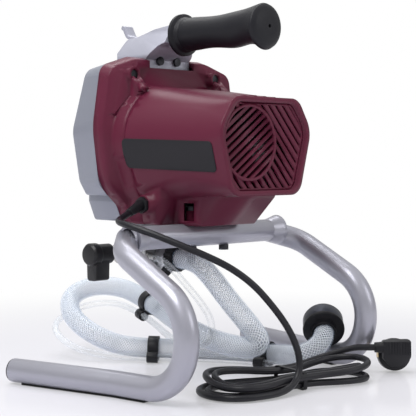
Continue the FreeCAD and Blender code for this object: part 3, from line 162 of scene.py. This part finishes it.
# %% A group for the dust that settles on faces that look up
def make_dust_group():
    group, given, put = new_group(
        "settled_dust",
        [("Colour", (0.5, 0.5, 0.5, 1.0)), ("Dust Colour", (0.55, 0.53, 0.50, 1.0)), ("Amount", 0.1)],
        [("Colour", "NodeSocketColor"), ("Mask", "NodeSocketFloat")])
    geometry = group.nodes.new("ShaderNodeNewGeometry")
    split = group.nodes.new("ShaderNodeSeparateXYZ")
    group.links.new(geometry.outputs["Normal"], split.inputs[0])
    place = group.nodes.new("ShaderNodeTexCoord").outputs["Object"]
    upward = maths(group, "MAXIMUM", split.outputs["Z"], 0.0)
    patch = noise(group, place, 45.0, 6.0, 0.65)
    mask = maths(group, "MULTIPLY", maths(group, "MULTIPLY", upward, patch), given.outputs["Amount"])
    group.links.new(blend_colour(group, mask, given.outputs["Colour"], given.outputs["Dust Colour"]),
                    put.inputs["Colour"])
    group.links.new(mask, put.inputs["Mask"])
    return group


surface_group = make_surface_group()
dust_group = make_dust_group()
print("groups", surface_group.name, dust_group.name)


# %% [markdown]
# Each finish is one material with the two groups in front of its shader. The clear plastics also let light
# through by how steeply they are seen, since a thin wall looks densest at its edges.

# %% Finishes
CLOUD_SCALE = 18.0
GLOSS_SPREAD = 0.12
GRAIN_DEPTH = 0.0002
EDGE_BLEND = 0.4


def place_group(tree, group, **values):
    node = tree.nodes.new("ShaderNodeGroup")
    node.node_tree = group
    for label, value in values.items():
        node.inputs[label.replace("_", " ")].default_value = value
    return node


def finish_of(name, colour, roughness, metallic=0.0, grain=900.0, bump=0.05, cloud=0.08, dust=0.06, specular=0.5):
    """A material with grain, uneven gloss and a little dust."""
    material = bpy.data.materials.new(name)
    material.use_nodes = True
    tree = material.node_tree
    shader = tree.nodes["Principled BSDF"]
    base = place_group(tree, surface_group, Colour=(*colour, 1.0), Grain_Scale=grain, Cloud_Scale=CLOUD_SCALE,
                       Cloud_Depth=cloud, Roughness=roughness, Roughness_Spread=GLOSS_SPREAD)
    dusty = place_group(tree, dust_group, Amount=dust)
    tree.links.new(base.outputs["Colour"], dusty.inputs["Colour"])
    tree.links.new(dusty.outputs["Colour"], shader.inputs["Base Color"])
    tree.links.new(base.outputs["Roughness"], shader.inputs["Roughness"])
    shader.inputs["Metallic"].default_value = metallic
    shader.inputs["Specular IOR Level"].default_value = specular
    bumpy = tree.nodes.new("ShaderNodeBump")
    bumpy.inputs["Strength"].default_value = bump
    bumpy.inputs["Distance"].default_value = GRAIN_DEPTH
    tree.links.new(base.outputs["Height"], bumpy.inputs["Height"])
    tree.links.new(bumpy.outputs["Normal"], shader.inputs["Normal"])
    return material


def clear_finish(name, colour, roughness, middle, rim):
    """Clear soft plastic: seen face on it is faint, and towards its edges it gathers colour."""
    material = finish_of(name, colour, roughness, 0.0, 300, 0.0, 0.05, 0.0, specular=0.6)
    tree = material.node_tree
    weight = tree.nodes.new("ShaderNodeLayerWeight")
    weight.inputs["Blend"].default_value = EDGE_BLEND
    share = maths(tree, "MULTIPLY", weight.outputs["Facing"], rim - middle)
    tree.links.new(maths(tree, "ADD", share, middle), tree.nodes["Principled BSDF"].inputs["Alpha"])
    return material


finishes = {
    "stand_paint": finish_of("stand_paint", (0.42, 0.42, 0.48), 0.34, 0.55, 1400, 0.12, 0.06, 0.03),
    "maroon_plastic": finish_of("maroon_plastic", (0.116, 0.0145, 0.037), 0.36, 0.0, 1600, 0.22, 0.08, 0.0,
                                specular=0.24),
    "cover_grey": finish_of("cover_grey", (0.275, 0.288, 0.342), 0.40, 0.35, 1200, 0.15, 0.05, 0.03),
    "bracket_grey": finish_of("bracket_grey", (0.44, 0.445, 0.52), 0.42, 0.35, 700, 0.30, 0.06, 0.03),
    "cast_aluminium": finish_of("cast_aluminium", (0.50, 0.51, 0.52), 0.45, 0.9, 600, 0.40, 0.10, 0.03),
    "label_grey": finish_of("label_grey", (0.022, 0.021, 0.025), 0.44, 0.0, 2200, 0.10, 0.06, 0.01, specular=0.2),
    "grip_rubber": finish_of("grip_rubber", (0.009, 0.009, 0.013), 0.50, 0.0, 1500, 0.35, 0.15, 0.01, specular=0.3),
    "foot_rubber": finish_of("foot_rubber", (0.012, 0.012, 0.013), 0.65, 0.0, 900, 0.4, 0.2, 0.04, specular=0.3),
    "cord_rubber": finish_of("cord_rubber", (0.010, 0.010, 0.014), 0.38, 0.0, 1200, 0.15, 0.15, 0.01, specular=0.35),
    "black_plastic": finish_of("black_plastic", (0.009, 0.009, 0.012), 0.42, 0.0, 1500, 0.20, 0.10, 0.01,
                               specular=0.3),
    "control_plastic": finish_of("control_plastic", (0.012, 0.012, 0.014), 0.36, 0.0, 1300, 0.20, 0.10, 0.01,
                                 specular=0.35),
    "steel": finish_of("steel", (0.45, 0.45, 0.47), 0.30, 1.0, 900, 0.10, 0.08, 0.01),
    "gear_steel": finish_of("gear_steel", (0.30, 0.30, 0.31), 0.38, 1.0, 800, 0.15, 0.12, 0.0),
    "lamination": finish_of("lamination", (0.22, 0.22, 0.24), 0.45, 0.8, 500, 0.2, 0.1, 0.0),
    "copper": finish_of("copper", (0.52, 0.20, 0.08), 0.35, 1.0, 1100, 0.3, 0.15, 0.0),
    "brass": finish_of("brass", (0.62, 0.46, 0.20), 0.30, 1.0, 900, 0.1, 0.08, 0.0),
    "carbon": finish_of("carbon", (0.02, 0.02, 0.02), 0.6),
    "seal": finish_of("seal", (0.55, 0.52, 0.44), 0.6),
    "board_green": finish_of("board_green", (0.01, 0.09, 0.035), 0.4),
    "braid_yarn": finish_of("braid_yarn", (0.95, 0.96, 0.98), 0.55, 0.0, 2500, 0.2, 0.03, 0.0),
    "hose_pvc": clear_finish("hose_pvc", (0.66, 0.80, 0.98), 0.10, 0.02, 0.46),
    "hose_bore": clear_finish("hose_bore", (0.70, 0.83, 0.99), 0.35, 0.12, 0.36),
    "return_pvc": clear_finish("return_pvc", (0.84, 0.89, 0.94), 0.12, 0.015, 0.42),
    "mesh_steel": finish_of("mesh_steel", (0.085, 0.09, 0.11), 0.42, 0.9, 900, 0.3, 0.1, 0.0),
    "black_steel": finish_of("black_steel", (0.045, 0.045, 0.052), 0.40, 0.85, 900, 0.1, 0.08, 0.0),
    "plated": finish_of("plated", (0.46, 0.45, 0.44), 0.32, 1.0, 900, 0.1, 0.08, 0.01),
}
print("finishes", len(finishes))


# %% [markdown]
# Each solid of the frame keeps its mesh. It only gets the finish of its slot, smooth shading across its
# curved faces, and a small rounded edge, because a real casting or moulding never has a knife edge.

# %% Dress the solids
SHARP_EDGE = math.radians(28.0)
WELD_REACH = 0.00002
PLAIN_ROUNDING_MM = 0.3
slot_of = {s["node"]: s["material_slot"] for s in frame["record"]["subparts"]}
ROUNDING_MM = {"motor_housing": 0.0, "housing_flange": 0.0, "front_cover": 0.8, "handle_bracket": 0.9,
               "pump_block": 0.8, "power_plug": 0.7, "hose_clips": 0.5, "prime_knob": 0.8, "vent_grille": 0.0}


def dress(name):
    """Give a solid its finish, smooth shading and a small rounding."""
    piece = nodes[name]
    piece.data.materials.clear()
    piece.data.materials.append(finishes[slot_of[name]])
    for face in piece.data.polygons:
        face.use_smooth = True
    weld = piece.modifiers.new("weld", "WELD")
    weld.merge_threshold = WELD_REACH
    amount = ROUNDING_MM.get(name, PLAIN_ROUNDING_MM)
    if amount > 0:
        soft = piece.modifiers.new("rounding", "BEVEL")
        soft.width = amount / 1000.0
        soft.segments = 2
        soft.limit_method = "ANGLE"
        soft.angle_limit = SHARP_EDGE
        soft.use_clamp_overlap = True
        soft.harden_normals = True
    return piece


for name in sorted(nodes):
    dress(name)
OTHER_FINISH = {"strainer_mesh": "mesh_steel", "housing_screws": "black_steel", "pump_nipples": "plated",
                "prime_valve_bonnet": "plated"}
for name, finish in OTHER_FINISH.items():
    nodes[name].data.materials[0] = finishes[finish]
print("dressed", len(nodes))


# %% [markdown]
# A hose or cord is a fixed length of something flexible. Its line is one smooth spline through a few given points:
# straight out of the fitting, down under its own weight, and along the floor. A curve with
# a round bevel is enough for the plain black cord.

# %% Splines
def spline_object(name, points_mm, radius_mm=0.0, material=None, sides=8, resolution=10):
    curve = bpy.data.curves.new(name, "CURVE")
    curve.dimensions = "3D"
    curve.resolution_u = resolution
    curve.bevel_depth = radius_mm / 1000.0
    curve.bevel_resolution = sides // 2
    curve.use_fill_caps = True
    spline = curve.splines.new("NURBS")
    spline.points.add(len(points_mm) - 1)
    for point, place in zip(spline.points, points_mm):
        point.co = (*metres(place), 1.0)
    spline.order_u = 3
    spline.use_endpoint_u = True
    spline.use_smooth = True
    if material:
        curve.materials.append(material)
    piece = bpy.data.objects.new(name, curve)
    bpy.context.scene.collection.objects.link(piece)
    return piece


def spline_length(points_mm):
    line = centreline(points_mm)
    return sum((b - a).length for a, b in zip(line, line[1:]))


def centreline(points_mm, resolution=12):
    """The points that a spline with no bevel passes through, in metres."""
    guide = spline_object("guide", points_mm, resolution=resolution)
    mesh = bpy.data.meshes.new_from_object(guide)
    line = [v.co.copy() for v in mesh.vertices]
    bpy.data.objects.remove(guide)
    bpy.data.meshes.remove(mesh)
    return line


# %% [markdown]
# The power cord leaves the boot beside the base, arches over the stand's arm, drops behind the machine and
# is folded on the floor into a flat hank with a tie round its waist. Its turns are nested, each a cord's
# width inside the last, and the second half of them lies on the first.

# %% Power cord
CORD_R = 3.6
LEAD_POINTS = [(97, -10, 183), (109.8, -7.44, 177.88), (121.5, 1, 175.8), (128, 14.5, 174.5), (127, 32, 171),
               (118, 55, 164), (104, 77, 154), (87, 97, 143.5), (68, 114, 131), (49, 127, 114), (33, 136, 94),
               (18, 143, 73), (7, 147.5, 52), (2.5, 150.5, 32), (11, 153.5, 13)]
HANK_CENTRE = (-12.0, 126.0)
HANK_AXIS = (0.983, -0.184)
HANK_LENGTH = 103.0
HANK_START = 0.1
HANK_TURNS = 3.5
CORD_PITCH = 8.3
TURN_STEPS = 16
WAIST_HALF, WAIST_STEP, WAIST_SOFTNESS = 22.2, 9.4, 0.2
LOBE_HALF, LOBE_STEP, LOBE_SKEW = 67.0, 7.7, 6.0
TIE_ROOM, LOBE_DROP = 1.9, 1.4
LAYER_LIFT, CLIMB_SPAN = 8.1, 0.3
LEFT_RISE, RIGHT_RISE, LEFT_REACH = 11.0, 10.0, 11.0
ENTRY_LEAD = 25.2
NECK_PLACE, NECK_LEADS = (-24, -12, 8), (26, 10)
PLUG_CENTRE = Vector((-158.0, 152.0, 20.2))


def hank_point(turn):
    """The cord's line in the hank: nested loops, drawn in at the tied waist, in two layers."""
    half = HANK_TURNS / 2
    nested = half - abs(turn - half)
    angle = 2 * math.pi * turn
    length = HANK_LENGTH - CORD_PITCH * nested
    waist = WAIST_HALF - WAIST_STEP * nested
    lobe = LOBE_HALF + LOBE_SKEW * math.sin(angle) - LOBE_STEP * nested
    along = length * math.sin(angle)
    bulge = math.hypot(math.sin(angle), WAIST_SOFTNESS) - WAIST_SOFTNESS
    across = math.cos(angle) * (waist + lobe * bulge)
    climb = min(max((turn - half + CLIMB_SPAN / 2) / CLIMB_SPAN, 0.0), 1.0)
    lift = CORD_R + TIE_ROOM - LOBE_DROP * math.sin(angle) ** 2 + LAYER_LIFT * climb ** 2 * (3 - 2 * climb)
    left, right = max(math.sin(angle), 0.0), max(-math.sin(angle), 0.0)
    far = max(-math.cos(angle), 0.0)
    lift += climb * (LEFT_RISE * left * far ** 0.5 + RIGHT_RISE * right ** 2)
    along += LEFT_REACH * left ** 2 * (1.0 - climb)
    ux, uy = HANK_AXIS
    return Vector((HANK_CENTRE[0] + ux * along - uy * across, HANK_CENTRE[1] + uy * along + ux * across, lift))


def plug_place(x, y, z):
    """The plug's own axes: x along its cord, y along its pins, z up."""
    along = Vector((-0.711, 0.703, 0)).normalized()
    pins = Vector((-0.695, -0.703, -0.15)).normalized()
    return PLUG_CENTRE + along * x + pins * y + along.cross(pins) * z


hank_heading = (hank_point(HANK_START + 0.002) - hank_point(HANK_START - 0.002)).normalized()
hank_entry = hank_point(HANK_START)
turn_count = int(round(HANK_TURNS * TURN_STEPS))
cord_points = list(LEAD_POINTS) + [tuple(hank_entry - hank_heading * ENTRY_LEAD)]
cord_points += [tuple(hank_point(HANK_START + n / TURN_STEPS)) for n in range(turn_count + 1)]
neck_start = plug_place(*NECK_PLACE)
neck_heading = plug_place(1, 0, 0) - plug_place(0, 0, 0)
cord_points += [tuple(neck_start - neck_heading * lead) for lead in NECK_LEADS] + [tuple(neck_start)]
cord_length = spline_length(cord_points)
power_cord = spline_object("power_cord", cord_points, CORD_R, finishes["cord_rubber"], 10, 8)
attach(power_cord, "frame")
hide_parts("power_lead", "power_hank")
print("power cord", round(cord_length, 3), "m in", len(cord_points), "points")

# %% [markdown]
# The suction hose is clear PVC with two sets of white yarn wound through its wall, one each way. The wall is
# an outer and an inner skin that let light through, and the yarns are real ribbons between them, so the
# crossings show at any angle. They follow the spline's line with a frame that doesn't twist.

# %% Tubes along a line
# Both routes start in their fittings below the base and end at the strainer. The hose's second to seventh
# points are its slant behind the stand and the sharp turn at its foot.
HOSE_POINTS = [(0, -34, 127), (0, -10, 127), (-1, 14, 112), (-4, 42, 84), (-9, 69, 59), (-13, 83, 40), (-7, 62, 34),
               (3, 27, 39), (0, -12, 46), (-14, -58, 53), (-31, -103, 61), (-42, -147, 69), (-45, -187, 78),
               (-24, -219, 80), (10, -223, 70), (31, -200, 52), (34, -166, 35), (20, -135, 21), (3, -113, 15.5),
               (-31, -75, 14.6), (-58, -36, 14.6), (-78, 6, 14.6), (-88, 44, 15), (-84, 74, 17.5), (-96, 88, 26),
               (-112, 88, 37.5), (-121.5, 79, 43.5)]
RETURN_POINTS = [(21, -61, 128), (21, -45, 128), (20, -25, 117), (17, -5, 100), (14, 14, 83), (14, 31, 66),
                 (18, 37, 49), (21, 27, 35), (22, 8, 33), (16, -22, 34), (-2, -62, 38), (-20, -104, 45.5),
                 (-31, -148, 53.5), (-32, -184, 60), (-12, -211, 58), (16, -224, 47), (42, -216, 37),
                 (56, -190, 26), (54, -158, 15), (38, -127, 8.5), (15.4, -102, 6.7), (-18.6, -64, 6.7),
                 (-44, -27, 6.7), (-62, 10, 6.7), (-72, 48, 6.5), (-71, 70, 6.0)]


def steady_frames(line):
    """A side vector at each point of a line, carried along without twist."""
    frames = []
    side = None
    for i, here in enumerate(line):
        before, after = line[max(i - 1, 0)], line[min(i + 1, len(line) - 1)]
        heading = (after - before).normalized()
        if side is None:
            side = heading.orthogonal()
        side = (side - heading * side.dot(heading)).normalized()
        frames.append((here, side, heading.cross(side)))
    return frames


def even_line(line, step):
    """The same line with its points evenly spaced."""
    out = [line[0].copy()]
    carried = 0.0
    for a, b in zip(line, line[1:]):
        span = (b - a).length
        while carried + span >= step:
            share = (step - carried) / span
            a = a.lerp(b, share)
            out.append(a.copy())
            span = (b - a).length
            carried = 0.0
        carried += span
    if (out[-1] - line[-1]).length > step * 0.3:
        out.append(line[-1].copy())
    else:
        out[-1] = line[-1].copy()
    return out


def mesh_piece(name, build, material):
    """A smooth mesh object from a function that fills a bmesh."""
    mesh = bpy.data.meshes.new(name)
    shape = bmesh.new()
    build(shape)
    bmesh.ops.recalc_face_normals(shape, faces=shape.faces)
    shape.to_mesh(mesh)
    shape.free()
    for face in mesh.polygons:
        face.use_smooth = True
    mesh.materials.append(material)
    piece = bpy.data.objects.new(name, mesh)
    bpy.context.scene.collection.objects.link(piece)
    return piece


def ring_of(shape, frame_at, radius, sides):
    """The vertices of one round section."""
    here, u, v = frame_at
    return [shape.verts.new(here + u * (radius * math.cos(2 * math.pi * k / sides))
                            + v * (radius * math.sin(2 * math.pi * k / sides))) for k in range(sides)]


def bridge(shape, one, two, slot=0):
    """The faces between two sections."""
    count = len(one)
    for k in range(count):
        face = shape.faces.new((one[k], one[(k + 1) % count], two[(k + 1) % count], two[k]))
        face.material_index = slot


def hollow_tube(name, frames, outer, inner, sides, material, bore_material=None):
    """A tube wall with an outer and an inner skin, joined at both ends."""
    def build(shape):
        skins = []
        for skin, radius in enumerate((outer, inner)):
            rings = [ring_of(shape, f, radius, sides) for f in frames]
            for one, two in zip(rings, rings[1:]):
                bridge(shape, one, two, skin if bore_material else 0)
            skins.append(rings)
        for end in (0, -1):
            bridge(shape, skins[0][end], skins[1][end])
    piece = mesh_piece(name, build, material)
    if bore_material:
        piece.data.materials.append(bore_material)
    return piece


# %% [markdown]
# The yarns could be a texture, but they would then have no thickness at the hose's outline. As ribbons they
# show depth through the wall. The two sets lie at slightly different radii, so they never share a face.

# %% Yarns of the braid
YARNS = 16
YARN_WIDTH = 0.0011
YARN_THICK = 0.0004
LAY_LENGTH = 0.050


def braid(name, frames, radius, step, way):
    """Flat ribbons wound one way along the hose."""
    def build(shape):
        for yarn in range(YARNS):
            rings = []
            for i, (here, u, v) in enumerate(frames):
                angle = way * 2 * math.pi * (i * step) / LAY_LENGTH + 2 * math.pi * yarn / YARNS
                ring = []
                for da, dr in ((-1, -1), (1, -1), (1, 1), (-1, 1)):
                    a = angle + da * YARN_WIDTH / 2 / radius
                    r = radius + dr * YARN_THICK / 2
                    ring.append(shape.verts.new(here + u * (r * math.cos(a)) + v * (r * math.sin(a))))
                rings.append(ring)
            for one, two in zip(rings, rings[1:]):
                bridge(shape, one, two)
            shape.faces.new(rings[0])
            shape.faces.new(rings[-1])
    return mesh_piece(name, build, finishes["braid_yarn"])


HOSE_STEP = 0.0022
HOSE_OUTER_R, HOSE_BORE_R, HOSE_SIDES = 0.0120, 0.0088, 36
OUTER_YARN_R, INNER_YARN_R = 0.0108, 0.0103
hose_line = even_line(centreline(HOSE_POINTS), HOSE_STEP)
hose_frames = steady_frames(hose_line)
suction_hose = hollow_tube("suction_hose_wall", hose_frames, HOSE_OUTER_R, HOSE_BORE_R, HOSE_SIDES,
                           finishes["hose_pvc"], finishes["hose_bore"])
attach(suction_hose, "frame")
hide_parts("suction_hose")
braids = [braid("hose_braid_left", hose_frames, OUTER_YARN_R, HOSE_STEP, 1),
          braid("hose_braid_right", hose_frames, INNER_YARN_R, HOSE_STEP, -1)]
for piece in braids:
    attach(piece, "frame")
hose_length = sum((b - a).length for a, b in zip(hose_line, hose_line[1:]))
print("suction hose", round(hose_length, 3), "m,", len(hose_line), "rings")

# %% [markdown]
# The return tube is thin clear tubing. It has no braid, so it is only a wall with two skins. It hangs in
# the small rings of the clips and ends open beside the strainer.

# %% Return tube
RETURN_STEP = 0.0015
RETURN_OUTER_R, RETURN_BORE_R, RETURN_SIDES = 0.0040, 0.0028, 28
return_line = even_line(centreline(RETURN_POINTS), RETURN_STEP)
return_frames = steady_frames(return_line)
return_tube = hollow_tube("return_tube_wall", return_frames, RETURN_OUTER_R, RETURN_BORE_R, RETURN_SIDES,
                          finishes["return_pvc"])
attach(return_tube, "frame")
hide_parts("return_tube")
return_length = sum((b - a).length for a, b in zip(return_line, return_line[1:]))
print("return tube", round(return_length, 3), "m")

# %% [markdown]
# The machine stands on a glossy white floor in a white studio. The floor is one flat sheet that fades into an
# even white further out, so no horizon shows. Wide, soft lamps light it from above and from one side, and the
# world fills the shadows.

# %% Floor and light
FLOOR_FILL = 0.32
FADE_START, FADE_END = 0.30, 0.85
FLOOR_REACH, FLOOR_LEVEL = 3.0, -0.0002


def white_stage():
    """White gloss near the machine that fades into an even white further out."""
    material = bpy.data.materials.new("stage_white")
    material.use_nodes = True
    tree = material.node_tree
    shader = tree.nodes["Principled BSDF"]
    place = tree.nodes.new("ShaderNodeTexCoord").outputs["Object"]
    soft = noise(tree, place, 3.0)
    tree.links.new(blend_colour(tree, soft, (0.80, 0.79, 0.86, 1), (0.77, 0.76, 0.84, 1)),
                   shader.inputs["Base Color"])
    shader.inputs["Roughness"].default_value = 0.14
    away = tree.nodes.new("ShaderNodeVectorMath")
    away.operation = "LENGTH"
    tree.links.new(place, away.inputs[0])
    fade = tree.nodes.new("ShaderNodeMapRange")
    fade.interpolation_type = "SMOOTHSTEP"
    for label, value in (("From Min", FADE_START), ("From Max", FADE_END), ("To Min", FLOOR_FILL), ("To Max", 1.0)):
        fade.inputs[label].default_value = value
    tree.links.new(away.outputs["Value"], fade.inputs["Value"])
    path = tree.nodes.new("ShaderNodeLightPath")
    seen = maths(tree, "MAXIMUM", path.outputs["Is Camera Ray"], path.outputs["Is Glossy Ray"])
    seen = maths(tree, "MAXIMUM", seen, path.outputs["Is Transmission Ray"])
    glow = tree.nodes.new("ShaderNodeEmission")
    glow.inputs["Color"].default_value = (1.0, 1.0, 1.0, 1.0)
    mix = tree.nodes.new("ShaderNodeMixShader")
    tree.links.new(maths(tree, "MULTIPLY", fade.outputs["Result"], seen), mix.inputs["Fac"])
    tree.links.new(shader.outputs["BSDF"], mix.inputs[1])
    tree.links.new(glow.outputs["Emission"], mix.inputs[2])
    tree.links.new(mix.outputs["Shader"], tree.nodes["Material Output"].inputs["Surface"])
    return material


def build_floor(shape):
    sides = ((-1, -1), (1, -1), (1, 1), (-1, 1))
    shape.faces.new([shape.verts.new((x * FLOOR_REACH, y * FLOOR_REACH, FLOOR_LEVEL)) for x, y in sides])


floor = mesh_piece("floor", build_floor, white_stage())

WORLD_SIDE, WORLD_TOP = 0.42, 0.80
world = bpy.data.worlds.new("studio")
bpy.context.scene.world = world
world.use_nodes = True
world_tree = world.node_tree
light_path = world_tree.nodes.new("ShaderNodeLightPath")
seen = maths(world_tree, "MAXIMUM", light_path.outputs["Is Camera Ray"], light_path.outputs["Is Transmission Ray"])
heading = world_tree.nodes.new("ShaderNodeSeparateXYZ")
world_tree.links.new(world_tree.nodes.new("ShaderNodeTexCoord").outputs["Generated"], heading.inputs[0])
height = maths(world_tree, "MAXIMUM", heading.outputs["Z"], 0.0)
fill = maths(world_tree, "ADD", maths(world_tree, "MULTIPLY", height, WORLD_TOP - WORLD_SIDE), WORLD_SIDE)
rest = maths(world_tree, "MULTIPLY", fill, maths(world_tree, "SUBTRACT", 1.0, seen))
strength = maths(world_tree, "ADD", rest, seen)
background = world_tree.nodes["Background"]
background.inputs["Color"].default_value = (1.0, 1.0, 1.0, 1.0)
world_tree.links.new(strength, background.inputs["Strength"])


def lamp(name, place, target, size, power, colour=(1, 1, 1)):
    data = bpy.data.lights.new(name, "AREA")
    data.size = size
    data.energy = power
    data.color = colour
    thing = bpy.data.objects.new(name, data)
    bpy.context.scene.collection.objects.link(thing)
    thing.location = place
    thing.rotation_mode = "QUATERNION"
    thing.rotation_quaternion = (Vector(target) - Vector(place)).to_track_quat("-Z", "Y")
    return thing


lamp("key_lamp", (0.9, 0.1, 1.5), (0, 0, 0.2), 0.9, 16)
lamp("side_lamp", (-0.6, 1.5, 0.9), (0, 0, 0.2), 0.8, 4)
lamp("top_lamp", (-0.4, -0.6, 1.6), (0, 0, 0.25), 1.0, 10)
bpy.context.scene.view_settings.view_transform = "Standard"
